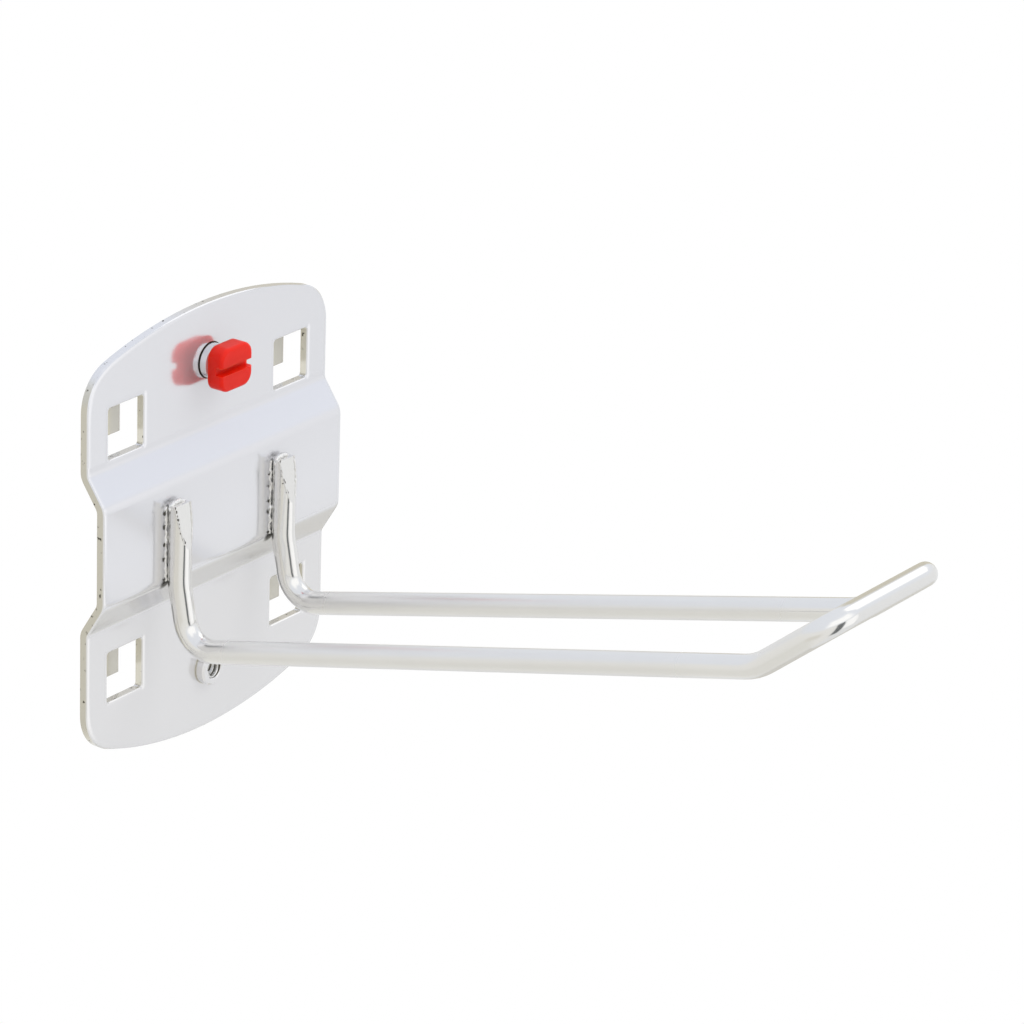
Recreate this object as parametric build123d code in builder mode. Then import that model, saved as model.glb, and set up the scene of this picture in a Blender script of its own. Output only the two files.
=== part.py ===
"""Double tool holder for a perforated wall panel: stamped plate, bent wire and clamp screw.

Units are millimetres. +Z is up, +X runs across the plate and -Y points away from the panel.
The origin is the middle of the four hooks, on the back of the plate where the panel stands.
"""

import math
import os

from build123d import *

os.makedirs("parts", exist_ok=True)

# Panel pattern that the hooks hang in
hole_pitch = 38.0

# Sheet and outline of the plate
sheet = 1.25
plate_width = 55.2
top_reach = 33.1
bottom_reach = 34.15
top_arc_r = 77.0
bottom_arc_r = 70.0
corner_r = 7.0
edge_break = 0.15

# Raised band across the middle, measured on the mid line of the sheet
band_rise = 3.1
band_top = 9.2
band_bottom = -5.8
slope_top = 4.4
slope_bottom = 5.0
fold_r = 2.2

# Windows and the hooks bent back out of them
window = 7.9
window_corner_r = 0.5
hook_width = 6.5
hook_gap = 2.7
hook_slope_drop = 1.9
hook_tip_drop = 2.4
hook_bend_r = 1.3
hook_root = 2.5

# Collars drawn out of the sheet and tapped, on the middle line
upper_collar_z = 24.1
lower_collar_z = -24.5
collar_r = 2.65
collar_height = 1.55
thread_bore_r = 1.5
bore_lead = 0.2
collar_rim = 0.3
draw_r = 0.5

# Wire
wire_d = 3.5
leg_spacing = 24.3
end_spacing = 26.0
leg_top = 6.3
leg_kink_z = -6.1
leg_lean = 10.5
arm_rise = 14.5
arm_base_z = -18.45
arm_reach = 106.7
tip_rise = 39.1
tip_length = 14.7
kink_bend_r = 12.0
leg_bend_r = 4.6
arm_bend_r = 9.0
corner_bend_r = 4.0
weld_flat = 0.3
press_flat_keep = 0.45
press_flat_tilt = 11.0

# Clamp screw
head_width = 7.2
head_height = 6.7
head_corner_r = 1.9
head_length = 2.6
head_gap = 0.9
head_round = 0.5
slot_width = 1.2
slot_depth = 1.15
thread_play = 0.05
tip_inset = 0.15
tip_chamfer = 0.3

# Aids for cutting and picking
through = 40.0
facing_front = -0.3
level_band = 0.01

band_front_y = -sheet - band_rise


def arc_drop(radius: float, half: float) -> float:
    """Height lost from the crown of an arc to a point `half` away from its middle."""
    return radius - math.sqrt(radius * radius - half * half)


# Plate
half_width = plate_width / 2
top_side_z = top_reach - arc_drop(top_arc_r, half_width)
bottom_side_z = -bottom_reach + arc_drop(bottom_arc_r, half_width)
mid_y = -sheet / 2
window_top = window / 2

with BuildPart() as back_plate:
    with BuildSketch(Plane.YZ):
        with BuildLine():
            FilletPolyline(
                (mid_y, through),
                (mid_y, band_top + slope_top),
                (mid_y - band_rise, band_top),
                (mid_y - band_rise, band_bottom),
                (mid_y, band_bottom - slope_bottom),
                (mid_y, -through),
                radius=fold_r,
            )
        trace(line_width=sheet)
    extrude(amount=half_width, both=True)

    with BuildSketch(Plane.XZ) as outline:
        with BuildLine():
            ThreePointArc((-half_width, top_side_z), (0, top_reach), (half_width, top_side_z))
            Line((half_width, top_side_z), (half_width, bottom_side_z))
            ThreePointArc((half_width, bottom_side_z), (0, -bottom_reach), (-half_width, bottom_side_z))
            Line((-half_width, bottom_side_z), (-half_width, top_side_z))
        make_face()
        fillet(outline.vertices(), corner_r)
    extrude(amount=through, both=True, mode=Mode.INTERSECT)

    front = back_plate.faces().filter_by(lambda face: face.normal_at(face.center()).Y < facing_front)
    rim = [edge for edge in front.edges() if sum(edge in face.edges() for face in front) == 1]
    chamfer(rim, edge_break)

    with BuildSketch(Plane.XZ):
        with GridLocations(hole_pitch, hole_pitch, 2, 2):
            RectangleRounded(window, window, window_corner_r)
    extrude(amount=through, both=True, mode=Mode.SUBTRACT)

    window_edges = back_plate.edges(Select.LAST)
    chamfer(window_edges.filter_by_position(Axis.Y, -sheet - level_band, -sheet + level_band), edge_break)

    hook_y = hook_gap + sheet / 2
    hook_planes = [Plane.YZ.offset(-hole_pitch / 2), Plane.YZ.offset(hole_pitch / 2)]
    for centre_z in (hole_pitch / 2, -hole_pitch / 2):
        with BuildSketch(*hook_planes):
            with BuildLine():
                FilletPolyline(
                    (mid_y, centre_z + window_top + hook_root),
                    (mid_y, centre_z + window_top + sheet / 2),
                    (hook_y, centre_z + window_top + sheet / 2 - hook_slope_drop),
                    (hook_y, centre_z - hook_tip_drop),
                    radius=hook_bend_r,
                )
            trace(line_width=sheet)
        extrude(amount=hook_width / 2, both=True)

    collar_seats = [(0, upper_collar_z), (0, lower_collar_z)]
    with BuildSketch(Plane.XZ.offset(sheet)):
        with Locations(*collar_seats):
            Circle(collar_r)
    extrude(amount=collar_height)
    collar_rims = back_plate.edges(Select.LAST).filter_by(GeomType.CIRCLE)
    chamfer(collar_rims.group_by(Axis.Y)[0], collar_rim)
    with BuildSketch(Plane.XZ):
        with Locations(*collar_seats):
            Circle(thread_bore_r)
    extrude(amount=through, both=True, mode=Mode.SUBTRACT)
    bore_mouths = back_plate.edges(Select.LAST).filter_by(GeomType.CIRCLE).group_by(Axis.Y)
    chamfer(bore_mouths[0], bore_lead)
    fillet(bore_mouths[-1], draw_r)

back_plate.part.label = "back_plate"
export_step(back_plate.part, "parts/back_plate.step")

# Wire: the mid line of the right arm from its cut end to the crossbar, and its mirror image
wire_r = wire_d / 2
leg_y = band_front_y - wire_r + weld_flat
lean_slope = math.tan(math.radians(leg_lean))
arm_slope = math.tan(math.radians(arm_rise))
foot_y = (leg_y + lean_slope * (arm_base_z - leg_kink_z)) / (1 + lean_slope * arm_slope)
foot_z = arm_base_z - arm_slope * foot_y
end_z = arm_base_z + arm_slope * arm_reach
tip_y = -arm_reach - tip_length * math.cos(math.radians(tip_rise))
tip_z = end_z + tip_length * math.sin(math.radians(tip_rise))
press_flat_foot = leg_top - (wire_d - press_flat_keep) / math.tan(math.radians(press_flat_tilt))
leg_x = leg_spacing / 2
end_x = end_spacing / 2

right_run = [
    (leg_x, leg_y, leg_top),
    (leg_x, leg_y, leg_kink_z),
    (leg_x, foot_y, foot_z),
    (end_x, -arm_reach, end_z),
    (end_x, tip_y, tip_z),
]
left_run = [(-x, y, z) for x, y, z in reversed(right_run)]
bend_radii = [kink_bend_r, leg_bend_r, arm_bend_r, corner_bend_r]

with BuildPart() as wire_arms:
    with BuildLine() as mid_line:
        FilletPolyline(*right_run, *left_run, radius=bend_radii + bend_radii[::-1])
    with BuildSketch(Plane(mid_line.line @ 0, z_dir=mid_line.line % 0)):
        Circle(wire_r)
    sweep()
    with BuildSketch(Plane.XZ.offset(-band_front_y)):
        Rectangle(plate_width, through)
    extrude(amount=-wire_d, mode=Mode.SUBTRACT)
    with BuildSketch(Plane.YZ):
        with BuildLine():
            Polyline(
                (leg_y - press_flat_keep, leg_top),
                (leg_y - wire_d, leg_top),
                (leg_y - wire_d, press_flat_foot),
                close=True,
            )
        make_face()
    extrude(amount=leg_spacing, both=True, mode=Mode.SUBTRACT)

wire_arms.part.label = "wire_arms"
export_step(wire_arms.part, "parts/wire_arms.step")

# Clamp screw, standing off the upper collar by head_gap
head_back_y = -sheet - collar_height - head_gap
head_front_y = head_back_y - head_length
shank_r = thread_bore_r - thread_play

with BuildPart() as clamp_screw:
    with BuildSketch(Plane.XZ.offset(-head_back_y)):
        with Locations((0, upper_collar_z)):
            RectangleRounded(head_width, head_height, head_corner_r)
    extrude(amount=head_length)
    fillet(clamp_screw.edges().group_by(Axis.Y)[0], head_round)
    with BuildSketch(Plane.XZ.offset(-head_front_y)):
        with Locations((0, upper_collar_z)):
            Rectangle(through, slot_width)
    extrude(amount=-slot_depth, mode=Mode.SUBTRACT)
    with BuildSketch(Plane.XZ.offset(-head_back_y)):
        with Locations((0, upper_collar_z)):
            Circle(shank_r)
    extrude(amount=head_back_y + tip_inset)
    chamfer(clamp_screw.edges().group_by(Axis.Y)[-1], tip_chamfer)

clamp_screw.part.label = "clamp_screw"
export_step(clamp_screw.part, "parts/clamp_screw.step")
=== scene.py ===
"""Looks of a double tool holder for a perforated panel: bright zinc sheet and wire, and a red clamp screw.

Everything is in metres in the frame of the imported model: +Z up, +X across the plate, -Y away from the panel.
"""

from __future__ import annotations

import logging
import math
from dataclasses import dataclass, field
from enum import Enum
from typing import Any

import bpy
from mathutils import Matrix, Vector


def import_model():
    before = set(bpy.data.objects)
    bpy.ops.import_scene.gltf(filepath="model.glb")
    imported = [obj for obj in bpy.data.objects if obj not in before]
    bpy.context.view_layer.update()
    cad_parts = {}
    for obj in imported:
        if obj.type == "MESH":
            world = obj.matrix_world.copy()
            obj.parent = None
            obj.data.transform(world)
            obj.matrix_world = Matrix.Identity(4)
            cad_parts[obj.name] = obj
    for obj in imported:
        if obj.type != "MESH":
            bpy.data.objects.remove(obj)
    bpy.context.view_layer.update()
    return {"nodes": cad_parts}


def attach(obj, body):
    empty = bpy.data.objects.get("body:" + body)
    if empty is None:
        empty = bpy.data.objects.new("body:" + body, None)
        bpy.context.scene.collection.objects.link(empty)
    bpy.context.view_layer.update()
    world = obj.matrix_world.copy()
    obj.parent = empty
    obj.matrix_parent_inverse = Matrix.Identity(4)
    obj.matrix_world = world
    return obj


MM = 0.001
LOG = logging.getLogger("tool_holder")

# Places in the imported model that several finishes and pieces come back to
UPPER_COLLAR_Z = 24.1 * MM
LOWER_COLLAR_Z = -24.5 * MM
LEG_X = 12.15 * MM

Tree = bpy.types.NodeTree
Socket = bpy.types.NodeSocket


class Body(Enum):
    """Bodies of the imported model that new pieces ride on."""

    HOLDER = "holder"


class Node(Enum):
    """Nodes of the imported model."""

    BACK_PLATE = "back_plate"
    WIRE_ARMS = "wire_arms"
    CLAMP_SCREW = "clamp_screw"


class Slot(Enum):
    """Material slots of the record that new pieces take."""

    PLATE_STEEL = "plate_steel"
    WIRE_STEEL = "wire_steel"


class Coordinate(Enum):
    """Coordinates that a tree splits into axes."""

    PLACE = "Object"
    FACING = "Normal"
    RAY = "Generated"


class Leg(Enum):
    """Welded legs of the wire, by their side of the middle line."""

    LEFT = -1
    RIGHT = 1


class Side(Enum):
    """Sides of one leg."""

    WEST = -1
    EAST = 1


def linear(hex_colour: str) -> tuple[float, float, float, float]:
    """Turn an sRGB hex colour into the linear colour that shader sockets take.

    Args:
        hex_colour: Six hex digits after a hash sign.

    Returns:
        Red, green, blue and an alpha of one.
    """
    parts = [int(hex_colour[i : i + 2], 16) / 255 for i in (1, 3, 5)]
    red, green, blue = [c / 12.92 if c <= 0.04045 else ((c + 0.055) / 1.055) ** 2.4 for c in parts]
    return red, green, blue, 1.0


def add(tree: Tree, kind: str, sockets: dict[Any, Any] | None = None, **settings: Any) -> bpy.types.Node:
    """Add a node, set its properties, and set or link its input sockets.

    Args:
        tree: Tree that takes the node.
        kind: Node type.
        sockets: Input name or index, with the value to set or the output to link.
        **settings: Properties of the node itself.

    Returns:
        The new node.
    """
    node = tree.nodes.new(kind)
    for name, value in settings.items():
        setattr(node, name, value)
    for key, value in (sockets or {}).items():
        if isinstance(value, Socket):
            tree.links.new(value, node.inputs[key])
        else:
            node.inputs[key].default_value = value
    return node


def axes_of(tree: Tree, coordinate: Coordinate) -> Any:
    """Split a coordinate into its axes.

    Args:
        tree: Tree that takes the nodes.
        coordinate: What to split.

    Returns:
        Outputs named X, Y and Z.
    """
    whole = add(tree, "ShaderNodeTexCoord").outputs[coordinate.value]
    return add(tree, "ShaderNodeSeparateXYZ", {0: whole}).outputs


def new_material(name: str) -> tuple[bpy.types.Material, Tree, bpy.types.Node]:
    """Make a material with a Principled shader on its output.

    Args:
        name: Name of the real material.

    Returns:
        The material, its node tree and the Principled node.
    """
    material = bpy.data.materials.new(name)
    material.use_nodes = True
    tree = material.node_tree
    tree.nodes.clear()
    shader = add(tree, "ShaderNodeBsdfPrincipled")
    add(tree, "ShaderNodeOutputMaterial", {"Surface": shader.outputs["BSDF"]})
    return material, tree, shader


@dataclass(frozen=True)
class EdgeRoll:
    """Rolled edge that the punch leaves on the front of the sheet, as distances on the plate's front.

    Sizes are in metres and repeat the plate's own outline and window pattern.
    """

    half_width: float = 27.6 * MM
    top_reach: float = 33.1 * MM
    bottom_reach: float = 34.15 * MM
    top_arc_r: float = 77.0 * MM
    bottom_arc_r: float = 70.0 * MM
    corner_blend: float = 7.4 * MM
    window_pitch: float = 38.0 * MM
    window_half: float = 3.95 * MM
    width: float = 0.75 * MM
    drop: float = 0.11 * MM

    def height(self, tree: Tree) -> Socket:
        """Give the height lost towards the outline and the windows, in metres.

        Args:
            tree: Material tree that takes the nodes.

        Returns:
            A height output that is zero away from every edge.
        """
        place = axes_of(tree, Coordinate.PLACE)
        across = add(tree, "ShaderNodeMath", {0: place["X"]}, operation="ABSOLUTE").outputs[0]
        upright = add(tree, "ShaderNodeMath", {0: place["Z"]}, operation="ABSOLUTE").outputs[0]
        near = self.to_outline(tree, across, place["Z"])
        near = add(tree, "ShaderNodeMath", {0: near, 1: self.to_window(tree, across, upright)}, operation="MINIMUM")
        share = add(
            tree,
            "ShaderNodeMapRange",
            {"Value": near.outputs[0], "From Min": 0.0, "From Max": self.width, "To Min": 1.0, "To Max": 0.0},
        )
        squared = add(tree, "ShaderNodeMath", {0: share.outputs[0], 1: 2.0}, operation="POWER")
        return add(tree, "ShaderNodeMath", {0: squared.outputs[0], 1: -self.drop}, operation="MULTIPLY").outputs[0]

    def to_outline(self, tree: Tree, across: Socket, upright: Socket) -> Socket:
        """Measure inwards from the arched outline.

        Args:
            tree: Material tree that takes the nodes.
            across: Distance from the middle line.
            upright: Height in the plate.

        Returns:
            Distance to the nearest edge of the outline.
        """
        near = add(tree, "ShaderNodeMath", {0: self.half_width, 1: across}, operation="SUBTRACT").outputs[0]
        arcs = (
            (self.top_arc_r, self.top_reach - self.top_arc_r),
            (self.bottom_arc_r, self.bottom_arc_r - self.bottom_reach),
        )
        for radius, centre in arcs:
            rise = add(tree, "ShaderNodeMath", {0: upright, 1: centre}, operation="SUBTRACT")
            arm = add(tree, "ShaderNodeCombineXYZ", {"X": across, "Z": rise.outputs[0]})
            reach = add(tree, "ShaderNodeVectorMath", {0: arm.outputs[0]}, operation="LENGTH")
            inside = add(tree, "ShaderNodeMath", {0: radius, 1: reach.outputs["Value"]}, operation="SUBTRACT")
            near = add(
                tree,
                "ShaderNodeMath",
                {0: near, 1: inside.outputs[0], 2: self.corner_blend},
                operation="SMOOTH_MIN",
            ).outputs[0]
        return near

    def to_window(self, tree: Tree, across: Socket, upright: Socket) -> Socket:
        """Measure outwards from the nearest window.

        Args:
            tree: Material tree that takes the nodes.
            across: Distance from the middle line.
            upright: Distance from the middle height.

        Returns:
            Distance to the nearest window edge.
        """
        sides = []
        for distance in (across, upright):
            offset = add(tree, "ShaderNodeMath", {0: distance, 1: self.window_pitch / 2}, operation="SUBTRACT")
            size = add(tree, "ShaderNodeMath", {0: offset.outputs[0]}, operation="ABSOLUTE")
            past = add(tree, "ShaderNodeMath", {0: size.outputs[0], 1: self.window_half}, operation="SUBTRACT")
            sides.append(add(tree, "ShaderNodeMath", {0: past.outputs[0], 1: 0.0}, operation="MAXIMUM").outputs[0])
        corner = add(tree, "ShaderNodeCombineXYZ", {"X": sides[0], "Z": sides[1]})
        return add(tree, "ShaderNodeVectorMath", {0: corner.outputs[0]}, operation="LENGTH").outputs["Value"]


@dataclass(frozen=True)
class FlapLean:
    """Lean of what the face above the band mirrors, in the shading alone: the mesh stays flat there."""

    from_z: float = 15.0 * MM
    slope: float = 0.13

    def height(self, tree: Tree) -> Socket:
        """Give the height lost by the lean, in metres.

        Args:
            tree: Material tree that takes the nodes.

        Returns:
            A height output that is zero below the flap.
        """
        upright = axes_of(tree, Coordinate.PLACE)["Z"]
        past = add(tree, "ShaderNodeMath", {0: upright, 1: self.from_z}, operation="SUBTRACT")
        above = add(tree, "ShaderNodeMath", {0: past.outputs[0], 1: 0.0}, operation="MAXIMUM")
        return add(tree, "ShaderNodeMath", {0: above.outputs[0], 1: -self.slope}, operation="MULTIPLY").outputs[0]


@dataclass(frozen=True)
class CreaseShade:
    """Painted shade in the corner round a drawn collar, and on the wall of its bore, as a ring of darker colour."""

    collar_z: float
    shade_hex: str
    radius: float = 2.7 * MM
    width: float = 0.11 * MM
    depth_y: float = -1.42 * MM
    depth_blend: float = 0.1 * MM
    core: float = 0.5

    def share(self, tree: Tree) -> Socket:
        """Give one in the crease and zero away from it.

        Args:
            tree: Material tree that takes the nodes.

        Returns:
            Mask output with soft edges.
        """
        place = add(tree, "ShaderNodeTexCoord").outputs["Object"]
        from_axis = add(tree, "ShaderNodeVectorMath", {0: place, 1: (0, 0, self.collar_z)}, operation="SUBTRACT")
        flat = add(tree, "ShaderNodeVectorMath", {0: from_axis.outputs[0], 1: (1, 0, 1)}, operation="MULTIPLY")
        reach = add(tree, "ShaderNodeVectorMath", {0: flat.outputs[0]}, operation="LENGTH").outputs["Value"]
        off = add(tree, "ShaderNodeMath", {0: reach, 1: self.radius}, operation="SUBTRACT")
        size = add(tree, "ShaderNodeMath", {0: off.outputs[0]}, operation="ABSOLUTE")
        ring = add(
            tree,
            "ShaderNodeMapRange",
            {"Value": size.outputs[0], "From Min": self.width, "From Max": self.width * self.core},
            interpolation_type="SMOOTHSTEP",
        )
        depth = add(tree, "ShaderNodeSeparateXYZ", {0: place}).outputs["Y"]
        low = add(
            tree,
            "ShaderNodeMapRange",
            {"Value": depth, "From Min": self.depth_y - self.depth_blend, "From Max": self.depth_y},
            interpolation_type="SMOOTHSTEP",
        )
        return add(tree, "ShaderNodeMath", {0: ring.outputs[0], 1: low.outputs[0]}, operation="MULTIPLY").outputs[0]


@dataclass(frozen=True)
class WeldFootShade:
    """Painted shade on the band beside each welded leg: a dark patch in the pocket at the foot of the weld."""

    shade_off: float = 1.3 * MM
    shade_z: float = -6.2 * MM
    shade_half: tuple[float, float] = (1.4 * MM, 1.2 * MM)
    core: float = 0.35
    burnt_and_shade_hex: str = "#3B3932"

    def share(self, tree: Tree) -> Socket:
        """Give one in the painted shade and zero away from it.

        Args:
            tree: Material tree that takes the nodes.

        Returns:
            Mask output with soft edges.
        """
        place = axes_of(tree, Coordinate.PLACE)
        across = add(tree, "ShaderNodeMath", {0: place["X"]}, operation="ABSOLUTE")
        beside = add(tree, "ShaderNodeMath", {0: across.outputs[0], 1: LEG_X}, operation="SUBTRACT")
        from_leg = add(tree, "ShaderNodeMath", {0: beside.outputs[0]}, operation="ABSOLUTE")
        off = add(tree, "ShaderNodeMath", {0: from_leg.outputs[0], 1: self.shade_off}, operation="SUBTRACT")
        wide = add(tree, "ShaderNodeMath", {0: off.outputs[0], 1: self.shade_half[0]}, operation="DIVIDE")
        below = add(tree, "ShaderNodeMath", {0: place["Z"], 1: self.shade_z}, operation="SUBTRACT")
        tall = add(tree, "ShaderNodeMath", {0: below.outputs[0], 1: self.shade_half[1]}, operation="DIVIDE")
        spread = add(tree, "ShaderNodeCombineXYZ", {"X": wide.outputs[0], "Y": tall.outputs[0]})
        reach = add(tree, "ShaderNodeVectorMath", {0: spread.outputs[0]}, operation="LENGTH").outputs["Value"]
        return add(
            tree,
            "ShaderNodeMapRange",
            {"Value": reach, "From Min": 1.0, "From Max": self.core},
            interpolation_type="SMOOTHSTEP",
        ).outputs[0]


@dataclass(frozen=True)
class ShearedEdge:
    """Sheared edges, hooks and recesses, with painted shade: yellower where they do not face up and darker on the long
    sides. The shear also left a few dark nicks.

    turned_y and level_z are parts of a unit normal, and nick_span is a span of the noise.
    """

    front_y: float = -1.2 * MM
    hook_y: float = 0.2 * MM
    turned_y: float = -0.3
    level_z: tuple[float, float] = (0.75, 0.25)
    side_x: float = 27.4 * MM
    side_blend: float = 2.4 * MM
    # Painted shade on edges that do not face up and on the long sides; the nicks are real marks of the shear
    low_edge_shade_hex: str = "#E8E5DA"
    side_hex: str = "#CDC9BC"
    nick_hex: str = "#4A463B"
    nick_mm: float = 0.8
    nick_span: tuple[float, float] = (0.66, 0.72)

    def share(self, tree: Tree) -> Socket:
        """Give one on sheared edges and in recesses, and zero on the open front.

        Args:
            tree: Material tree that takes the nodes.

        Returns:
            Mask output.
        """
        place, facing = axes_of(tree, Coordinate.PLACE), axes_of(tree, Coordinate.FACING)
        turned = add(tree, "ShaderNodeMath", {0: facing["Y"], 1: self.turned_y}, operation="GREATER_THAN").outputs[0]
        behind = add(tree, "ShaderNodeMath", {0: place["Y"], 1: self.front_y}, operation="GREATER_THAN").outputs[0]
        across = add(tree, "ShaderNodeMath", {0: place["X"]}, operation="ABSOLUTE").outputs[0]
        outside = add(tree, "ShaderNodeMath", {0: across, 1: self.side_x}, operation="GREATER_THAN").outputs[0]
        cut = add(tree, "ShaderNodeMath", {0: behind, 1: outside}, operation="MAXIMUM").outputs[0]
        edge = add(tree, "ShaderNodeMath", {0: turned, 1: cut}, operation="MULTIPLY").outputs[0]
        hook = add(tree, "ShaderNodeMath", {0: place["Y"], 1: self.hook_y}, operation="GREATER_THAN").outputs[0]
        return add(tree, "ShaderNodeMath", {0: edge, 1: hook}, operation="MAXIMUM").outputs[0]

    def low_edge_shade(self, tree: Tree, edge: Socket) -> Socket:
        """Keep only the edges that do not face up, which take a yellower painted shade.

        Args:
            tree: Material tree that takes the nodes.
            edge: Mask of the sheared edges.

        Returns:
            Mask output of the yellower painted shade.
        """
        rise = axes_of(tree, Coordinate.FACING)["Z"]
        start, end = self.level_z
        level = add(tree, "ShaderNodeMapRange", {"Value": rise, "From Min": start, "From Max": end}).outputs[0]
        return add(tree, "ShaderNodeMath", {0: edge, 1: level}, operation="MULTIPLY").outputs[0]

    def sides(self, tree: Tree, edge: Socket) -> Socket:
        """Keep only the two long sides, which take the darkest painted shade.

        Args:
            tree: Material tree that takes the nodes.
            edge: Mask of the sheared edges.

        Returns:
            Mask output of the long sides.
        """
        across = axes_of(tree, Coordinate.PLACE)["X"]
        across = add(tree, "ShaderNodeMath", {0: across}, operation="ABSOLUTE").outputs[0]
        outside = add(
            tree,
            "ShaderNodeMapRange",
            {"Value": across, "From Min": self.side_x - self.side_blend, "From Max": self.side_x},
            interpolation_type="SMOOTHSTEP",
        ).outputs[0]
        return add(tree, "ShaderNodeMath", {0: edge, 1: outside}, operation="MULTIPLY").outputs[0]

    def nicks(self, tree: Tree, edge: Socket) -> Socket:
        """Scatter dark nicks over the sheared edges of the sheet itself.

        Args:
            tree: Material tree that takes the nodes.
            edge: Mask of the sheared edges.

        Returns:
            Mask output of the nicks.
        """
        place = add(tree, "ShaderNodeTexCoord").outputs["Object"]
        pattern = {"Vector": place, "Scale": 1 / (self.nick_mm * MM), "Detail": 2.0}
        grain = add(tree, "ShaderNodeTexNoise", pattern).outputs["Fac"]
        start, end = self.nick_span
        spots = add(tree, "ShaderNodeMapRange", {"Value": grain, "From Min": start, "From Max": end}).outputs[0]
        depth = add(tree, "ShaderNodeSeparateXYZ", {0: place}).outputs["Y"]
        sheet = add(tree, "ShaderNodeMath", {0: depth, 1: self.hook_y}, operation="LESS_THAN").outputs[0]
        cut = add(tree, "ShaderNodeMath", {0: edge, 1: sheet}, operation="MULTIPLY").outputs[0]
        return add(tree, "ShaderNodeMath", {0: spots, 1: cut}, operation="MULTIPLY").outputs[0]


@dataclass(frozen=True)
class HeightTint:
    """Tint that changes from the foot over the middle to the head, each as a place on the way up and a colour."""

    foot_z: float = -34.0 * MM
    head_z: float = 33.0 * MM
    foot: tuple[float, str] = (0.3, "#FBFAF7")
    middle: tuple[float, str] = (0.5, "#FDFDFD")
    head: tuple[float, str] = (0.75, "#F8F8F8")

    def tint(self, tree: Tree, colour: Socket) -> Socket:
        """Multiply a colour by the tint.

        Args:
            tree: Material tree that takes the nodes.
            colour: Colour of the plating before the tint.

        Returns:
            Tinted colour.
        """
        upright = axes_of(tree, Coordinate.PLACE)["Z"]
        span = {"Value": upright, "From Min": self.foot_z, "From Max": self.head_z}
        ramp = add(tree, "ShaderNodeValToRGB", {"Fac": add(tree, "ShaderNodeMapRange", span).outputs[0]})
        stops = ramp.color_ramp.elements
        for stop, (place, hex_colour) in zip((stops[0], stops[1]), (self.foot, self.head)):
            stop.position, stop.color = place, linear(hex_colour)
        stops.new(self.middle[0]).color = linear(self.middle[1])
        mixed = add(
            tree,
            "ShaderNodeMix",
            {"Factor": 1.0, "A": colour, "B": ramp.outputs["Color"]},
            data_type="RGBA",
            blend_type="MULTIPLY",
        )
        return mixed.outputs["Result"]


@dataclass(frozen=True)
class SatinRun:
    """Straight arms and their lower bends, which look duller than the legs and the upturned end."""

    near_y: float = -9.5 * MM
    far_y: float = -100.0 * MM
    blend: float = 9.0 * MM
    rough: float = 0.34

    def gloss(self, tree: Tree, rough: Socket) -> Socket:
        """Raise a roughness along the straight arms.

        Args:
            tree: Material tree that takes the nodes.
            rough: Roughness of the plating before the change.

        Returns:
            Roughness with the arms duller.
        """
        along = axes_of(tree, Coordinate.PLACE)["Y"]
        ends = ((self.near_y, -self.blend), (self.far_y, self.blend))
        near, far = (
            add(
                tree,
                "ShaderNodeMapRange",
                {"Value": along, "From Min": start, "From Max": start + run},
                interpolation_type="SMOOTHSTEP",
            ).outputs[0]
            for start, run in ends
        )
        share = add(tree, "ShaderNodeMath", {0: near, 1: far}, operation="MULTIPLY").outputs[0]
        mixed = add(tree, "ShaderNodeMix", {"Factor": share, "A": rough, "B": self.rough}, data_type="FLOAT")
        return mixed.outputs["Result"]


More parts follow.
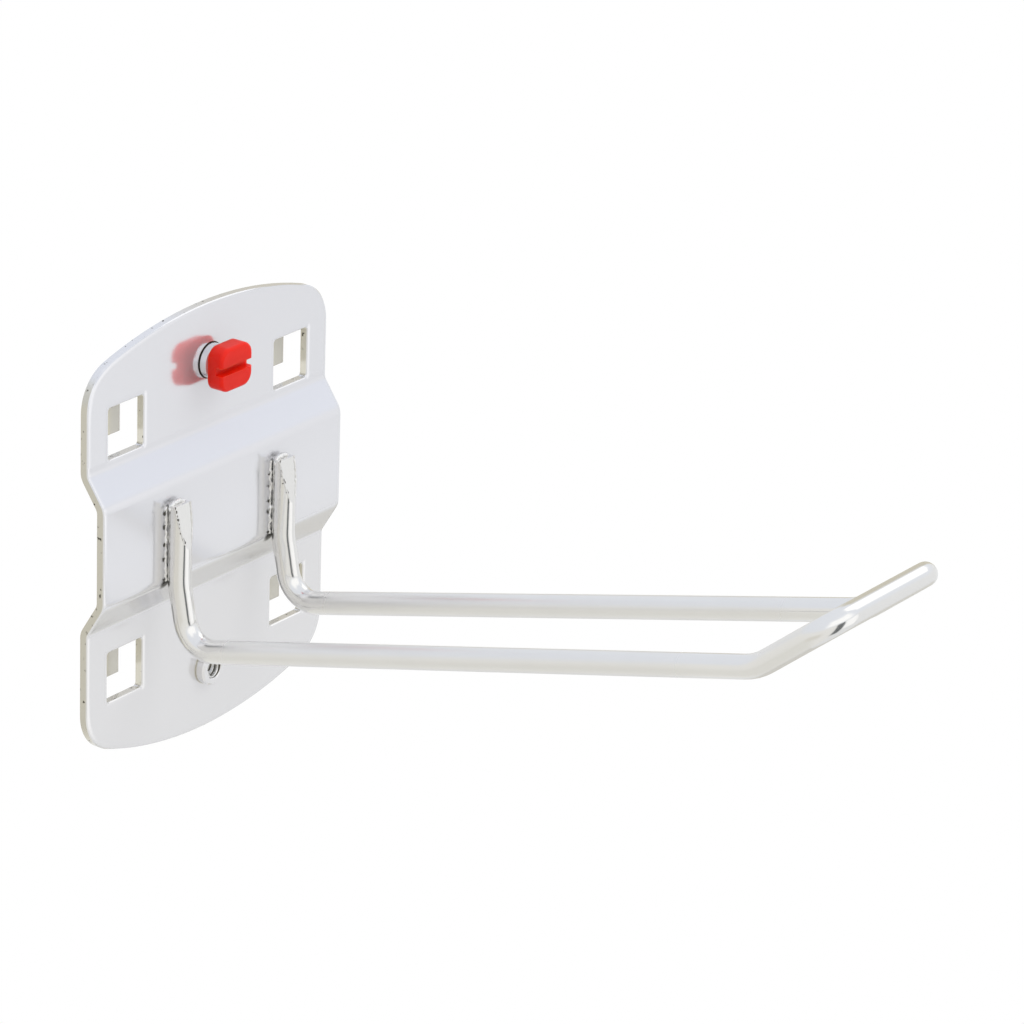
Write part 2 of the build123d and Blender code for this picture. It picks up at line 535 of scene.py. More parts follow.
@dataclass(frozen=True)
class BrightZinc:
    """Bright zinc plating on steel: a pale mirror with a soft haze and a faint ripple from the steel under it.

    Colours, roughness and mirror share are matched to the object, and so are the marks that a finish may carry.
    """

    name: str
    light_hex: str
    dull_hex: str
    mirror: float
    haze: float
    cloud_mm: float
    ripple_mm: float
    mirror_share: float
    ripple_rise_mm: float = 0.003
    cloud_detail: float = 3.0
    cloud_grain: float = 0.55
    cloud_span: tuple[float, float] = (0.3, 0.7)
    back_y: float = 0.5
    roll: EdgeRoll | None = None
    lean: FlapLean | None = None
    crease_shades: tuple[CreaseShade, ...] = ()
    height_tint: HeightTint | None = None
    edge: ShearedEdge | None = None
    foot_shade: WeldFootShade | None = None
    satin: SatinRun | None = None

    def material(self) -> bpy.types.Material:
        """Build the plating with its clouds, haze, ripple, marks and painted shade."""
        # Zinc from a brightened bath gives the eye a pale mirror that blurs a little, with clouds of more and less
        # haze and a ripple a few microns high that makes mirrored edges waver.
        material, tree, shader = new_material(self.name)
        place = add(tree, "ShaderNodeTexCoord").outputs["Object"]
        pattern = {
            "Vector": place,
            "Scale": 1 / (self.cloud_mm * MM),
            "Detail": self.cloud_detail,
            "Roughness": self.cloud_grain,
        }
        clouds = add(tree, "ShaderNodeTexNoise", pattern).outputs["Fac"]
        colour = add(
            tree,
            "ShaderNodeMix",
            {"Factor": clouds, "A": linear(self.dull_hex), "B": linear(self.light_hex)},
            data_type="RGBA",
        ).outputs["Result"]
        start, end = self.cloud_span
        span = {"Value": clouds, "From Min": start, "From Max": end, "To Min": self.haze, "To Max": self.mirror}
        rough = add(tree, "ShaderNodeMapRange", span).outputs[0]
        if self.satin is not None:
            rough = self.satin.gloss(tree, rough)
        if self.height_tint is not None:
            colour = self.height_tint.tint(tree, colour)
        tree.links.new(self.marked_and_shaded(tree, colour), shader.inputs["Base Color"])
        tree.links.new(rough, shader.inputs["Roughness"])
        tree.links.new(self.uneven(tree, place), shader.inputs["Normal"])
        shader.inputs["Metallic"].default_value = self.mirror_share
        return material

    def uneven(self, tree: Tree, place: Socket) -> Socket:
        """Bend the normal by the ripple and, on punched sheet, by its rolled edges and its lean.

        Args:
            tree: Material tree that takes the nodes.
            place: Place on the piece.

        Returns:
            Normal output.
        """
        pattern = {"Vector": place, "Scale": 1 / (self.ripple_mm * MM), "Detail": 2.0}
        ripple = add(tree, "ShaderNodeTexNoise", pattern).outputs["Fac"]
        rise = {"Strength": 1.0, "Distance": self.ripple_rise_mm * MM, "Height": ripple}
        normal = add(tree, "ShaderNodeBump", rise).outputs["Normal"]
        for shape in (self.roll, self.lean):
            if shape is not None:
                rise = {"Strength": 1.0, "Distance": 1.0, "Height": shape.height(tree), "Normal": normal}
                normal = add(tree, "ShaderNodeBump", rise).outputs["Normal"]
        return normal

    def marked_and_shaded(self, tree: Tree, colour: Socket) -> Socket:
        """Lay the marks and the painted shade of the front over the colour, and none on faces turned to the panel.

        Args:
            tree: Material tree that takes the nodes.
            colour: Colour of the plating without the marks and the painted shade.

        Returns:
            Colour with the marks and the painted shade.
        """
        marks_and_shade: list[tuple[Socket, str]] = []
        if self.edge is not None:
            edge = self.edge.share(tree)
            # Painted shade on sheared edges and hooks that do not face up, and darker on the long sides
            marks_and_shade.append((self.edge.low_edge_shade(tree, edge), self.edge.low_edge_shade_hex))
            marks_and_shade.append((self.edge.sides(tree, edge), self.edge.side_hex))
            marks_and_shade.append((self.edge.nicks(tree, edge), self.edge.nick_hex))
        if self.foot_shade is not None:
            # Painted shade in the pocket at the foot of each weld
            marks_and_shade.append((self.foot_shade.share(tree), self.foot_shade.burnt_and_shade_hex))
        # Painted shade in the creases round the collars and on the wall of the lower bore
        marks_and_shade += [(crease.share(tree), crease.shade_hex) for crease in self.crease_shades]
        facing = axes_of(tree, Coordinate.FACING)["Y"]
        front = add(tree, "ShaderNodeMath", {0: facing, 1: self.back_y}, operation="LESS_THAN").outputs[0]
        for share, hex_colour in marks_and_shade:
            shown = add(tree, "ShaderNodeMath", {0: share, 1: front}, operation="MULTIPLY").outputs[0]
            colour = add(
                tree,
                "ShaderNodeMix",
                {"Factor": shown, "A": colour, "B": linear(hex_colour)},
                data_type="RGBA",
            ).outputs["Result"]
        return colour


@dataclass(frozen=True)
class WeldOxide:
    """Black scale and burnt zinc beside a resistance weld: dull, grainy, nearly black. Beside the weld flash its beads
    also stand in for the flash's shade.
    """

    name: str = "Weld scale and shade"
    scale_hex: str = "#1E1C18"
    burnt_and_shade_hex: str = "#6B675C"
    grain_mm: float = 0.25
    grain_rise_mm: float = 0.05
    grain_strength: float = 0.6
    mirror_share: float = 0.4
    rough: float = 0.6

    def material(self) -> bpy.types.Material:
        """Build the scale as dark grains among burnt zinc."""
        # Scale gives the eye matt black crumbs. Real grains are finer than a pixel, so they are drawn coarser here.
        material, tree, shader = new_material(self.name)
        place = add(tree, "ShaderNodeTexCoord").outputs["Object"]
        pattern = {"Vector": place, "Scale": 1 / (self.grain_mm * MM), "Detail": 2.0}
        grain = add(tree, "ShaderNodeTexNoise", pattern).outputs["Fac"]
        tint = add(
            tree,
            "ShaderNodeMix",
            {"Factor": grain, "A": linear(self.scale_hex), "B": linear(self.burnt_and_shade_hex)},
            data_type="RGBA",
        )
        rise = {"Strength": self.grain_strength, "Distance": self.grain_rise_mm * MM, "Height": grain}
        bump = add(tree, "ShaderNodeBump", rise)
        tree.links.new(tint.outputs["Result"], shader.inputs["Base Color"])
        tree.links.new(bump.outputs["Normal"], shader.inputs["Normal"])
        shader.inputs["Metallic"].default_value = self.mirror_share
        shader.inputs["Roughness"].default_value = self.rough
        return material


@dataclass(frozen=True)
class MouldedNylon:
    """Moulded red nylon: full red, a soft gloss, a fine spark-eroded grain and slight flow clouds."""

    name: str = "Moulded red nylon"
    red_hex: str = "#D61C06"
    deep_hex: str = "#CC1805"
    flow_mm: float = 3.0
    grain_mm: float = 0.35
    grain_rise_mm: float = 0.03
    grain_strength: float = 0.5
    bleed_mm: float = 5.0
    bleed_share: float = 0.85
    bleed_colour: tuple[float, float, float] = (1.0, 0.2, 0.08)
    rough: float = 0.42
    gloss_level: float = 0.26
    ior: float = 1.53

    def material(self) -> bpy.types.Material:
        """Build the nylon with its flow clouds and grain."""
        # Nylon gives the eye a deep red that light enters, under a soft gloss. The grain of its mould is finer than a
        # pixel, so it is drawn coarser here.
        material, tree, shader = new_material(self.name)
        place = add(tree, "ShaderNodeTexCoord").outputs["Object"]
        pattern = {"Vector": place, "Scale": 1 / (self.flow_mm * MM), "Detail": 2.0}
        flow = add(tree, "ShaderNodeTexNoise", pattern).outputs["Fac"]
        tint = add(
            tree,
            "ShaderNodeMix",
            {"Factor": flow, "A": linear(self.deep_hex), "B": linear(self.red_hex)},
            data_type="RGBA",
        )
        pattern = {"Vector": place, "Scale": 1 / (self.grain_mm * MM), "Detail": 3.0}
        grain = add(tree, "ShaderNodeTexNoise", pattern).outputs["Fac"]
        rise = {"Strength": self.grain_strength, "Distance": self.grain_rise_mm * MM, "Height": grain}
        bump = add(tree, "ShaderNodeBump", rise)
        tree.links.new(tint.outputs["Result"], shader.inputs["Base Color"])
        tree.links.new(bump.outputs["Normal"], shader.inputs["Normal"])
        shader.inputs["Subsurface Weight"].default_value = self.bleed_share
        shader.inputs["Subsurface Radius"].default_value = self.bleed_colour
        shader.inputs["Subsurface Scale"].default_value = self.bleed_mm * MM
        shader.inputs["Roughness"].default_value = self.rough
        shader.inputs["Specular IOR Level"].default_value = self.gloss_level
        shader.inputs["IOR"].default_value = self.ior
        return material


def open_tree(name: str, sizes: dict[str, str]) -> tuple[Tree, Any]:
    """Start a geometry tree with named inputs and one geometry output.

    Args:
        name: Name of the tree.
        sizes: Input name and its socket type.

    Returns:
        The tree and the outputs of its input node.
    """
    tree = bpy.data.node_groups.new(name, "GeometryNodeTree")
    for size, kind in sizes.items():
        tree.interface.new_socket(size, in_out="INPUT", socket_type=kind)
    tree.interface.new_socket("Geometry", in_out="OUTPUT", socket_type="NodeSocketGeometry")
    return tree, add(tree, "NodeGroupInput").outputs


def close_tree(tree: Tree, shape: Socket, material: bpy.types.Material) -> None:
    """End a geometry tree in plain geometry with its finish.

    Args:
        tree: Tree to end.
        shape: Geometry that the tree made.
        material: Finish of the shape.
    """
    whole = add(tree, "GeometryNodeRealizeInstances", {0: shape})
    dressed = add(tree, "GeometryNodeSetMaterial", {"Geometry": whole.outputs[0], "Material": material})
    add(tree, "NodeGroupOutput", {0: dressed.outputs[0]})


def grown_mesh(name: str, tree: Tree, inputs: dict[str, Any], place: Matrix) -> bpy.types.Object:
    """Run a geometry tree on an empty mesh and keep its result as a plain mesh at the origin.

    Args:
        name: Name of the new piece.
        tree: Geometry tree that makes the shape.
        inputs: Input name and value for the tree.
        place: Where the shape stands in the frame.

    Returns:
        The finished object.
    """
    seed = bpy.data.objects.new(f"{name}_seed", bpy.data.meshes.new(f"{name}_seed"))
    bpy.context.scene.collection.objects.link(seed)
    grower = seed.modifiers.new("grow", "NODES")
    grower.node_group = tree
    for item in tree.interface.items_tree:
        if item.in_out == "INPUT" and item.name in inputs:
            grower[item.identifier] = inputs[item.name]
    grown = seed.evaluated_get(bpy.context.evaluated_depsgraph_get())
    mesh = bpy.data.meshes.new_from_object(grown)
    seed.modifiers.remove(grower)
    bpy.data.objects.remove(seed)
    mesh.name = name
    mesh.transform(place)
    piece = bpy.data.objects.new(name, mesh)
    bpy.context.scene.collection.objects.link(piece)
    return piece


def smooth_faces(piece: bpy.types.Object) -> None:
    """Shade every face of a grown piece smooth."""
    piece.data.polygons.foreach_set("use_smooth", [True] * len(piece.data.polygons))


@dataclass
class DressedNode:
    """Sub-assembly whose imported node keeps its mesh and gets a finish."""

    finish: BrightZinc | MouldedNylon

    def dress(self, node: bpy.types.Object) -> None:
        """Give the node its finish."""
        node.data.materials.clear()
        node.data.materials.append(self.finish.material())


@dataclass
class BackPlate(DressedNode):
    """Stamped plate with its windows, hooks and tapped collars."""

    thread_finish: BrightZinc
    bore_r: float = 1.5 * MM
    bore_back: float = -0.55 * MM
    bore_front: float = -2.55 * MM
    thread_pitch: float = 0.8 * MM
    thread_depth: float = 0.32 * MM
    thread_steps: int = 32
    ridge_sides: int = 3

    def thread_tree(self, material: bpy.types.Material) -> Tree:
        """Make the tree that winds a three-sided ridge into a screw thread.

        Args:
            material: Finish of the thread.

        Returns:
            Geometry tree with the thread's sizes as inputs.
        """
        names = ("Radius", "Length", "Turns", "Ridge")
        tree, sizes = open_tree("tapped_thread", dict.fromkeys(names, "NodeSocketFloat"))
        winding = add(
            tree,
            "GeometryNodeCurveSpiral",
            {
                "Resolution": self.thread_steps,
                "Rotations": sizes["Turns"],
                "Start Radius": sizes["Radius"],
                "End Radius": sizes["Radius"],
                "Height": sizes["Length"],
            },
        )
        ridge = add(
            tree, "GeometryNodeCurvePrimitiveCircle", {"Resolution": self.ridge_sides, "Radius": sizes["Ridge"]}
        )
        thread = add(
            tree,
            "GeometryNodeCurveToMesh",
            {"Curve": winding.outputs[0], "Profile Curve": ridge.outputs["Curve"], "Fill Caps": True},
        )
        close_tree(tree, thread.outputs[0], material)
        return tree

    def build_thread(self) -> bpy.types.Object:
        """Wind the ridge of a tapped thread into the empty lower collar.

        Returns:
            The thread ridge in the bore.
        """
        length = self.bore_back - self.bore_front
        tree = self.thread_tree(self.thread_finish.material())
        inputs = {
            "Radius": self.bore_r,
            "Length": length,
            "Turns": length / self.thread_pitch,
            "Ridge": self.thread_depth,
        }
        place = Matrix.Translation((0, self.bore_back, LOWER_COLLAR_Z)) @ Matrix.Rotation(math.pi / 2, 4, "X")
        piece = grown_mesh("collar_thread", tree, inputs, place)
        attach(piece, Body.HOLDER.value)
        return piece


@dataclass(frozen=True)
class SeamKind:
    """Kind of piece that lies along a seam, on one or both sides of each leg."""

    name: str
    seam: str
    tree: Tree
    radius: float
    lump: float
    count: int = 0
    sides: tuple[Side, ...] = (Side.WEST, Side.EAST)


@dataclass
class WireArms(DressedNode):
    """Bent wire with its two welded legs."""

    scale: WeldOxide
    leg_y: float = -5.8 * MM
    wire_r: float = 1.75 * MM
    # Metal squeezed out along the weld, and dark scale specks beside it, which also stand in for the shade at the
    # flash's edge
    flash_off: float = 1.48 * MM
    flash_y: float = -4.4 * MM
    flash_top: float = 6.0 * MM
    flash_foot: float = -5.6 * MM
    flash_r: float = 0.18 * MM
    flash_lump: float = 1.0 * MM
    speck_off: float = 1.95 * MM
    speck_span: tuple[float, float] = (-5.0 * MM, 4.6 * MM)
    speck_r: float = 0.18 * MM
    speck_count: int = 5
    # Burr round the cut end
    cut_y: float = -5.25 * MM
    cut_rise: float = 0.25 * MM
    cut_aside: float = 1.5 * MM
    cut_drop: float = 0.7 * MM
    cut_r: float = 0.32 * MM
    cut_lump: float = 0.7 * MM
    # Pressed flat with its burr
    flat_top: float = 6.3 * MM
    flat_keep: float = 0.45 * MM
    flat_tilt: float = 11.0
    burr_reach: float = 1.6 * MM
    burr_r: float = 0.11 * MM
    burr_lump: float = 0.3 * MM
    # Make of every ridge and every bead
    lump_mm: float = 0.6
    lump_level: float = 0.45
    ridge_steps: int = 64
    ridge_sides: int = 8
    bead_count: int = 16
    bead_r: float = 0.12 * MM
    bead_stray: float = 6.0
    bead_steps: int = 32
    bead_least: tuple[float, float, float] = (0.5, 0.5, 0.8)
    bead_most: tuple[float, float, float] = (1.1, 1.0, 2.2)
    seed: int = 7
    seed_by_leg: int = 3

    def seam_tree(self, name: str, steps: int) -> tuple[Tree, Any, Socket]:
        """Start a tree that works along a seam.

        Args:
            name: Name of the tree.
            steps: Runs in the seam's curve.

        Returns:
            The tree, the outputs of its input node and the seam's curve.
        """
        kinds = dict.fromkeys(("Start", "Middle", "End"), "NodeSocketVector")
        kinds |= dict.fromkeys(("Radius", "Lump"), "NodeSocketFloat")
        kinds |= dict.fromkeys(("Count", "Seed"), "NodeSocketInt")
        tree, sizes = open_tree(name, kinds)
        seam = add(
            tree,
            "GeometryNodeCurveQuadraticBezier",
            {"Resolution": steps, "Start": sizes["Start"], "Middle": sizes["Middle"], "End": sizes["End"]},
        )
        return tree, sizes, seam.outputs[0]

    def ridge_tree(self, material: bpy.types.Material) -> Tree:
        """Make the tree that runs a lumpy ridge of squeezed-out metal along a seam.

        Args:
            material: Finish of the ridge.

        Returns:
            Geometry tree with the seam's sizes as inputs.
        """
        tree, sizes, seam = self.seam_tree("squeezed_ridge", self.ridge_steps)
        ring = add(
            tree, "GeometryNodeCurvePrimitiveCircle", {"Resolution": self.ridge_sides, "Radius": sizes["Radius"]}
        )
        ridge = add(
            tree,
            "GeometryNodeCurveToMesh",
            {"Curve": seam, "Profile Curve": ring.outputs["Curve"], "Fill Caps": True},
        )
        lumps = add(
            tree,
            "ShaderNodeTexNoise",
            {
                "Vector": add(tree, "GeometryNodeInputPosition").outputs[0],
                "W": sizes["Seed"],
                "Scale": 1 / (self.lump_mm * MM),
                "Detail": 2.0,
            },
            noise_dimensions="4D",
        )
        swell = add(tree, "ShaderNodeMath", {0: lumps.outputs["Fac"], 1: self.lump_level}, operation="SUBTRACT")
        push = add(tree, "ShaderNodeMath", {0: swell.outputs[0], 1: sizes["Lump"]}, operation="MULTIPLY")
        outward = add(
            tree,
            "ShaderNodeVectorMath",
            {0: add(tree, "GeometryNodeInputNormal").outputs[0], "Scale": push.outputs[0]},
            operation="SCALE",
        )
        uneven = add(tree, "GeometryNodeSetPosition", {"Geometry": ridge.outputs[0], "Offset": outward.outputs[0]})
        close_tree(tree, uneven.outputs[0], material)
        return tree

    def bead_tree(self, material: bpy.types.Material) -> Tree:
        """Make the tree that strews uneven beads along a seam.

        Args:
            material: Finish of the beads.

        Returns:
            Geometry tree with the seam's sizes as inputs.
        """
        tree, sizes, seam = self.seam_tree("strewn_beads", self.bead_steps)
        points = add(tree, "GeometryNodeCurveToPoints", {"Curve": seam, "Count": sizes["Count"]}, mode="COUNT")
        along = add(tree, "ShaderNodeMath", {0: sizes["Lump"], 1: self.bead_stray}, operation="MULTIPLY")
        spread = add(
            tree, "ShaderNodeCombineXYZ", {"X": sizes["Lump"], "Y": sizes["Lump"], "Z": along.outputs[0]}
        )
        inward = add(tree, "ShaderNodeVectorMath", {0: spread.outputs[0], "Scale": -1.0}, operation="SCALE")
        stray, size = (
            add(
                tree,
                "FunctionNodeRandomValue",
                {"Min": least, "Max": most, "Seed": sizes["Seed"]},
                data_type="FLOAT_VECTOR",
            ).outputs[0]
            for least, most in ((inward.outputs[0], spread.outputs[0]), (self.bead_least, self.bead_most))
        )
        strewn = add(tree, "GeometryNodeSetPosition", {"Geometry": points.outputs["Points"], "Offset": stray})
        bead = add(tree, "GeometryNodeMeshIcoSphere", {"Radius": sizes["Radius"], "Subdivisions": 2})
        beads = add(
            tree,
            "GeometryNodeInstanceOnPoints",
            {"Points": strewn.outputs[0], "Instance": bead.outputs["Mesh"], "Scale": size},
        )
        close_tree(tree, beads.outputs[0], material)
        return tree

    def flat_edge(self, depth: float) -> Vector:
        """Find a point on the edge of a leg's pressed flat, from the leg's middle.

        Args:
            depth: How far in front of the wire's mid line the point lies.

        Returns:
            Offset to the right of the mid line, with its true Y and Z.
        """
        drop = (depth - self.flat_keep) / math.tan(math.radians(self.flat_tilt))
        aside = math.sqrt(self.wire_r * self.wire_r - depth * depth)
        return Vector((aside, self.leg_y - depth, self.flat_top - drop))

    def seams(self) -> dict[str, tuple[Vector, Vector, Vector]]:
        """Give the seams on the right of a leg, as the start, middle and end of a curve.

        Returns:
            The weld line on the band, the line of dark scale specks beside it that also stand in for the flash's
            shade, the edge of the pressed flat and half the rim of the cut end.
        """
        top = Vector((self.flash_off, self.flash_y, self.flash_top))
        foot = Vector((self.flash_off, self.flash_y, self.flash_foot))
        low, high = (Vector((self.speck_off, self.flash_y, z)) for z in self.speck_span)
        crown = Vector((0, self.cut_y, self.flat_top + self.cut_rise))
        shoulder = Vector((self.cut_aside, self.cut_y, self.flat_top + self.cut_rise))
        side = Vector((self.cut_aside, self.cut_y, self.flat_top - self.cut_drop))
        rim, end = self.flat_edge(self.flat_keep), self.flat_edge(self.burr_reach)
        bend = 2 * self.flat_edge((self.flat_keep + self.burr_reach) / 2) - (rim + end) / 2
        return {
            "weld": (top, (top + foot) / 2, foot),
            "specks": (low, (low + high) / 2, high),
            "flat": (rim, bend, end),
            "cut": (crown, shoulder, side),
        }

    def build_welds(self) -> list[bpy.types.Object]:
        """Set squeezed-out metal and dark scale along each weld, pressed flat and cut end; the scale beside each weld
        also stands in for the flash's shade.

        Returns:
            One piece for each ridge and each row of scale.
        """
        ridge = self.ridge_tree(self.finish.material())
        beads = self.bead_tree(self.scale.material())
        kinds = (
            SeamKind("weld_flash", "weld", ridge, self.flash_r, self.flash_lump),
            # Dark scale beads that also stand in for the shade at the flash's edge
            SeamKind("weld_scale_and_shade", "specks", beads, self.speck_r, self.bead_r, self.speck_count),
            SeamKind("cut_burr", "cut", ridge, self.cut_r, self.cut_lump),
            SeamKind("press_burr", "flat", ridge, self.burr_r, self.burr_lump),
            SeamKind("burr_scale", "flat", beads, self.bead_r, self.burr_r, self.bead_count, (Side.WEST,)),
        )
        places = [(leg, side, kind) for leg in Leg for side in Side for kind in kinds if side in kind.sides]
        return [self.build_seam(leg, side, kind) for leg, side, kind in places]

    def build_seam(self, leg: Leg, side: Side, kind: SeamKind) -> bpy.types.Object:
        """Set one piece along a seam.

        Args:
            leg: Leg that carries the seam.
            side: Side of the leg.
            kind: What lies along the seam.

        Returns:
            The finished piece.
        """
        start, middle, end = (Vector((side.value * p.x, p.y, p.z)) for p in self.seams()[kind.seam])
        inputs = {
            "Start": start,
            "Middle": middle,
            "End": end,
            "Radius": kind.radius,
            "Lump": kind.lump,
            "Count": kind.count,
            "Seed": self.seed + self.seed_by_leg * leg.value + side.value,
        }
        place = Matrix.Translation((leg.value * LEG_X, 0, 0))
        piece = grown_mesh(f"{kind.name}_{leg.name.lower()}_{side.name.lower()}", kind.tree, inputs, place)
        smooth_faces(piece)
        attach(piece, Body.HOLDER.value)
        return piece


@dataclass
class ClampScrew(DressedNode):
    """Moulded screw that clamps the plate to the panel."""


@dataclass(frozen=True)
class Card:
    """Panel or card of the studio, by bearing from the front in degrees and by height on a unit sphere."""

    bearing: tuple[float, float]
    height: tuple[float, float]
    hex_colour: str
    strength: float = 1.0
    soft_bearing: float = 3.0
    soft_height: float = 0.05

    def glow(self) -> tuple[float, float, float, float]:
        """Give the card's colour at its strength."""
        red, green, blue, alpha = linear(self.hex_colour)
        return red * self.strength, green * self.strength, blue * self.strength, alpha

    def mask(self, tree: Tree, bearing: Socket, height: Socket) -> Socket:
        """Give one inside the card and zero outside.

        Args:
            tree: World tree that takes the nodes.
            bearing: Bearing of the ray in degrees.
            height: Height of the ray's end on a unit sphere.

        Returns:
            Mask output with soft edges.
        """
        mask = None
        spans = ((bearing, self.bearing, self.soft_bearing), (height, self.height, self.soft_height))
        for value, (low, high), soft in spans:
            for edge, inward in ((low, 1), (high, -1)):
                side = add(
                    tree,
                    "ShaderNodeMapRange",
                    {"Value": value, "From Min": edge - inward * soft, "From Max": edge + inward * soft},
                    interpolation_type="SMOOTHSTEP",
                ).outputs[0]
                if mask is None:
                    mask = side
                else:
                    mask = add(tree, "ShaderNodeMath", {0: mask, 1: side}, operation="MULTIPLY").outputs[0]
        return mask


@dataclass
class Studio:
    """Pale floor, soft surroundings, one key lamp and the camera.

    The room is matched to what the metal mirrors.
    """

    azimuth: float = 54.592
    elevation: float = 21.679
    roll: float = 1.988
    distance: float = 781.11 * MM
    target: Vector = field(default_factory=lambda: Vector((15.7 * MM, -45.0 * MM, 6.835 * MM)))
    lens: float = 189.5
    sensor: float = 36.0
    clip_start: float = 0.01
    floor_z: float = -0.32
    floor_size: float = 9.0
    paper_hex: str = "#EDEDEB"
    ceiling_hex: str = "#EEF2FA"
    ceiling_span: tuple[float, float] = (0.05, 0.4)
    front_hex: str = "#EFF0F1"
    side_hex: str = "#F4F3EF"
    warm_left: tuple[float, float] = (0.0, -25.0)
    warm_behind: tuple[float, float] = (140.0, 175.0)
    lamp_place: tuple[float, float, float] = (0.35, -0.9, 1.0)
    lamp_size: tuple[float, float] = (0.9, 0.7)
    lamp_watts: float = 6.0
    # Each card covers those before it
    cards: tuple[Card, ...] = (
        # Dim warm card low behind the part, in two halves because the bearing wraps there
        Card((-215.0, -150.0), (-0.62, -0.12), "#B3AB93", soft_bearing=14.0, soft_height=0.08),
        Card((150.0, 215.0), (-0.62, -0.12), "#B3AB93", soft_bearing=14.0, soft_height=0.08),
        # Broad pale card under the left, and greyer ones under and beside the right
        Card((-150.0, -80.0), (-1.3, -0.35), "#EBEAE4", soft_bearing=20.0, soft_height=0.3),
        Card((80.0, 125.0), (-1.2, -0.5), "#D9D7D0", soft_bearing=10.0, soft_height=0.06),
        Card((110.0, 131.0), (-0.3, 0.5), "#CFC9B6", soft_bearing=4.0, soft_height=0.06),
        # Warm card low on the left
        Card((-112.0, -60.0), (-0.55, -0.2), "#E4E1D8", soft_bearing=12.0, soft_height=0.1),
        # White panel high in front
        Card((-60.0, 35.0), (0.3, 0.8), "#FFFFFF", 1.2, soft_bearing=15.0, soft_height=0.1),
        # Dark card and white panel side by side in front, which draw a dark and a white line on the legs
        Card((-20.0, 5.0), (-0.7, 0.2), "#2E3436"),
        Card((6.0, 44.0), (-0.5, 0.18), "#FFFFFF", 1.16),
        # White panel high on the right
        Card((62.0, 108.0), (0.47, 0.9), "#FFFFFF", 1.35, soft_bearing=5.0, soft_height=0.04),
    )

    def build_camera(self) -> bpy.types.Object:
        """Stand the camera where the photograph was taken from.

        Returns:
            The camera object.
        """
        az, el, roll = (math.radians(a) for a in (self.azimuth, self.elevation, self.roll))
        back = Vector((-math.sin(az) * math.cos(el), -math.cos(az) * math.cos(el), math.sin(el)))
        right = Vector((0, 0, 1)).cross(back).normalized()
        up = back.cross(right)
        tilted_right = math.cos(roll) * right + math.sin(roll) * up
        tilted_up = math.cos(roll) * up - math.sin(roll) * right
        turn = Matrix((tilted_right, tilted_up, back)).transposed().to_4x4()
        data = bpy.data.cameras.new("camera")
        data.sensor_fit = "HORIZONTAL"
        data.sensor_width = self.sensor
        data.lens = self.lens
        data.clip_start = self.clip_start
        camera = bpy.data.objects.new("camera", data)
        camera.matrix_world = Matrix.Translation(self.target + self.distance * back) @ turn
        bpy.context.scene.collection.objects.link(camera)
        bpy.context.scene.camera = camera
        return camera

    def build_floor(self) -> bpy.types.Object:
        """Lay the pale floor far below the part, which hangs on a wall.

        Returns:
            The floor object.
        """
        half = self.floor_size / 2
        mesh = bpy.data.meshes.new("floor")
        corners = [(x * half, y * half, self.floor_z) for x, y in ((-1, -1), (1, -1), (1, 1), (-1, 1))]
        mesh.from_pydata(corners, [], [(0, 1, 2, 3)])
        floor = bpy.data.objects.new("floor", mesh)
        bpy.context.scene.collection.objects.link(floor)
        # Studio paper gives the eye an even matt white, and the camera sees it as plain white
        material = bpy.data.materials.new("White studio paper")
        material.use_nodes = True
        tree = material.node_tree
        tree.nodes.clear()
        paper = add(tree, "ShaderNodeBsdfDiffuse", {"Color": linear(self.paper_hex)})
        glow = add(tree, "ShaderNodeEmission", {"Strength": 1.0})
        ray = add(tree, "ShaderNodeLightPath").outputs
        straight = {0: ray["Is Camera Ray"], 1: ray["Is Transmission Ray"]}
        seen = add(tree, "ShaderNodeMath", straight, operation="MAXIMUM")
        shown = add(tree, "ShaderNodeMixShader", {0: seen.outputs[0], 1: paper.outputs[0], 2: glow.outputs[0]})
        add(tree, "ShaderNodeOutputMaterial", {"Surface": shown.outputs[0]})
        mesh.materials.append(material)
        floor.visible_glossy = False
        return floor

    def build_surroundings(self) -> None:
        """Surround the part with pale walls, a cool ceiling, warm sides and the cards that the metal mirrors."""
        world = bpy.data.worlds.new("studio")
        world.use_nodes = True
        bpy.context.scene.world = world
        tree = world.node_tree
        tree.nodes.clear()
        ray = axes_of(tree, Coordinate.RAY)
        forward = add(tree, "ShaderNodeMath", {0: ray["Y"], 1: -1.0}, operation="MULTIPLY")
        turn = add(tree, "ShaderNodeMath", {0: ray["X"], 1: forward.outputs[0]}, operation="ARCTAN2")
        bearing = add(tree, "ShaderNodeMath", {0: turn.outputs[0]}, operation="DEGREES").outputs[0]
        walls = add(
            tree,
            "ShaderNodeMix",
            {"Factor": self.warm_share(tree, bearing), "A": linear(self.front_hex), "B": linear(self.side_hex)},
            data_type="RGBA",
        )
        start, end = self.ceiling_span
        height = add(
            tree,
            "ShaderNodeMapRange",
            {"Value": ray["Z"], "From Min": start, "From Max": end},
            interpolation_type="SMOOTHSTEP",
        )
        colour = add(
            tree,
            "ShaderNodeMix",
            {"Factor": height.outputs[0], "A": walls.outputs["Result"], "B": linear(self.ceiling_hex)},
            data_type="RGBA",
        ).outputs["Result"]
        for card in self.cards:
            colour = add(
                tree,
                "ShaderNodeMix",
                {"Factor": card.mask(tree, bearing, ray["Z"]), "A": colour, "B": card.glow()},
                data_type="RGBA",
            ).outputs["Result"]
        lit = add(tree, "ShaderNodeBackground", {"Color": colour, "Strength": 1.0})
        white = add(tree, "ShaderNodeBackground", {"Strength": 1.0, "Color": (1.0, 1.0, 1.0, 1.0)})
        seen = add(tree, "ShaderNodeLightPath").outputs["Is Camera Ray"]
        shown = add(tree, "ShaderNodeMixShader", {0: seen, 1: lit.outputs[0], 2: white.outputs[0]})
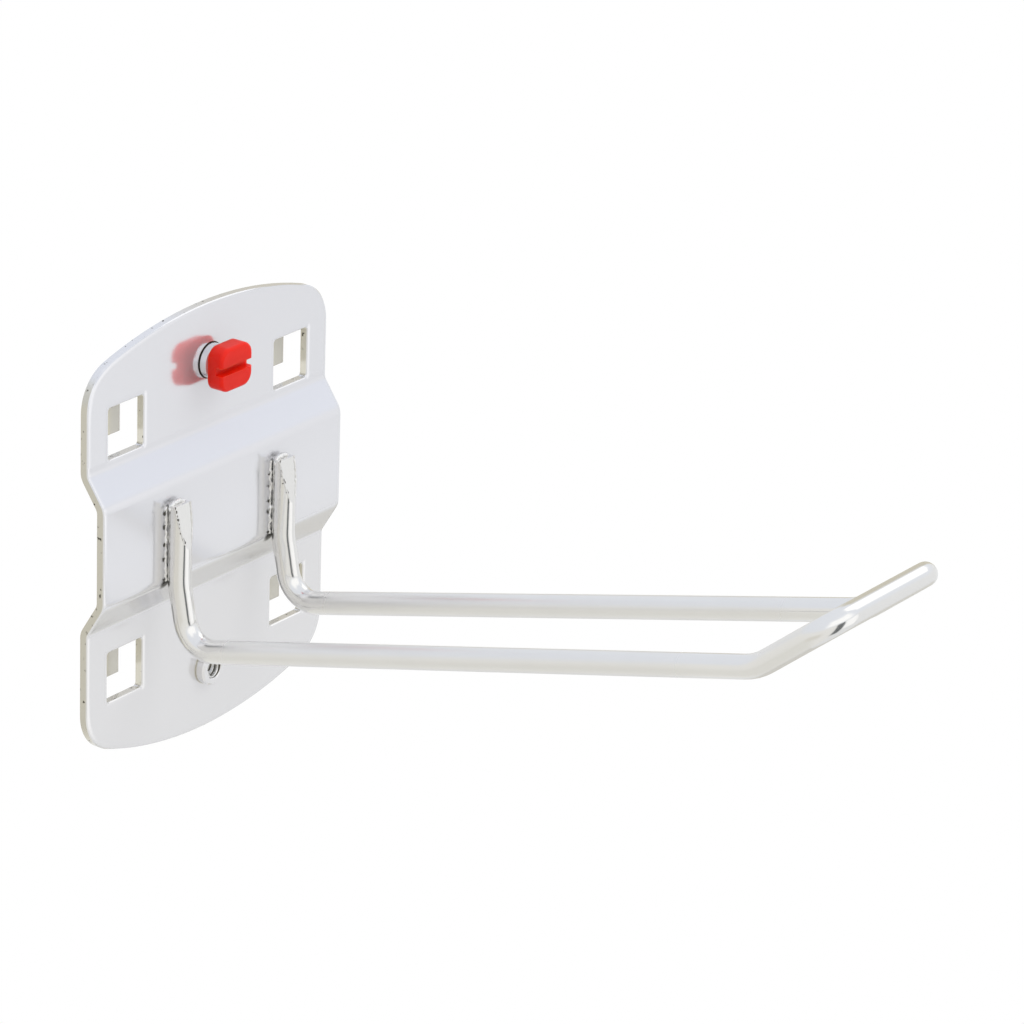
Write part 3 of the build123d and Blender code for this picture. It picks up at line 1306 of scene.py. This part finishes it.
        add(tree, "ShaderNodeOutputWorld", {"Surface": shown.outputs[0]})

    def warm_share(self, tree: Tree, bearing: Socket) -> Socket:
        """Give how far a bearing lies towards the warm side of the room.

        Args:
            tree: World tree that takes the nodes.
            bearing: Bearing of the ray in degrees.

        Returns:
            Zero in front and to the right, one to the left and behind.
        """
        left, behind = (
            add(
                tree,
                "ShaderNodeMapRange",
                {"Value": bearing, "From Min": start, "From Max": end},
                interpolation_type="SMOOTHSTEP",
            ).outputs[0]
            for start, end in (self.warm_left, self.warm_behind)
        )
        return add(tree, "ShaderNodeMath", {0: left, 1: behind}, operation="MAXIMUM").outputs[0]

    def build_lamp(self) -> bpy.types.Object:
        """Hang one large soft key lamp in front, above and to the right.

        Returns:
            The lamp object.
        """
        data = bpy.data.lights.new("key", "AREA")
        data.shape = "RECTANGLE"
        data.size, data.size_y = self.lamp_size
        data.energy = self.lamp_watts
        lamp = bpy.data.objects.new("key", data)
        lamp.location = self.lamp_place
        lamp.rotation_euler = (self.target - lamp.location).to_track_quat("-Z", "Y").to_euler()
        lamp.visible_glossy = False
        bpy.context.scene.collection.objects.link(lamp)
        return lamp

    def build(self) -> None:
        """Set up the whole studio."""
        self.build_camera()
        self.build_floor()
        self.build_surroundings()
        self.build_lamp()
        bpy.context.scene.view_settings.view_transform = "Standard"


def main() -> None:
    """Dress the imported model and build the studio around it."""
    logging.basicConfig(level=logging.INFO, format="%(message)s")
    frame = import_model()
    nodes = frame["nodes"]

    sheet_zinc = BrightZinc(
        name="Bright zinc on sheet",
        light_hex="#EAEAED",
        dull_hex="#E7E7EA",
        mirror=0.13,
        haze=0.17,
        cloud_mm=14.0,
        ripple_mm=2.2,
        mirror_share=0.72,
        roll=EdgeRoll(),
        lean=FlapLean(),
        crease_shades=(
            # Painted shade: dark round the upper collar, faint round the lower collar, dark on the lower bore's wall
            CreaseShade(UPPER_COLLAR_Z, "#4A463C", width=0.18 * MM),
            CreaseShade(LOWER_COLLAR_Z, "#CFCCC2"),
            CreaseShade(LOWER_COLLAR_Z, "#5E5A4E", radius=1.4 * MM, width=0.3 * MM, depth_y=-2.6 * MM),
        ),
        height_tint=HeightTint(),
        edge=ShearedEdge(),
        # Painted shade at the foot of each weld
        foot_shade=WeldFootShade(),
    )
    wire_zinc = BrightZinc(
        name="Bright zinc on wire",
        light_hex="#EBEAE8",
        dull_hex="#E6E5E3",
        mirror=0.13,
        haze=0.16,
        cloud_mm=6.0,
        ripple_mm=1.1,
        mirror_share=0.85,
        satin=SatinRun(),
    )

    plate = BackPlate(sheet_zinc, wire_zinc)
    plate.dress(nodes[Node.BACK_PLATE.value])
    LOG.info("back_plate dressed, %s added", plate.build_thread().name)

    wire = WireArms(wire_zinc, WeldOxide())
    wire.dress(nodes[Node.WIRE_ARMS.value])
    LOG.info("wire_arms dressed, %s added", ", ".join(piece.name for piece in wire.build_welds()))

    ClampScrew(MouldedNylon()).dress(nodes[Node.CLAMP_SCREW.value])
    LOG.info("clamp_screw dressed")

    Studio().build()


if __name__ == "__main__":
    main()
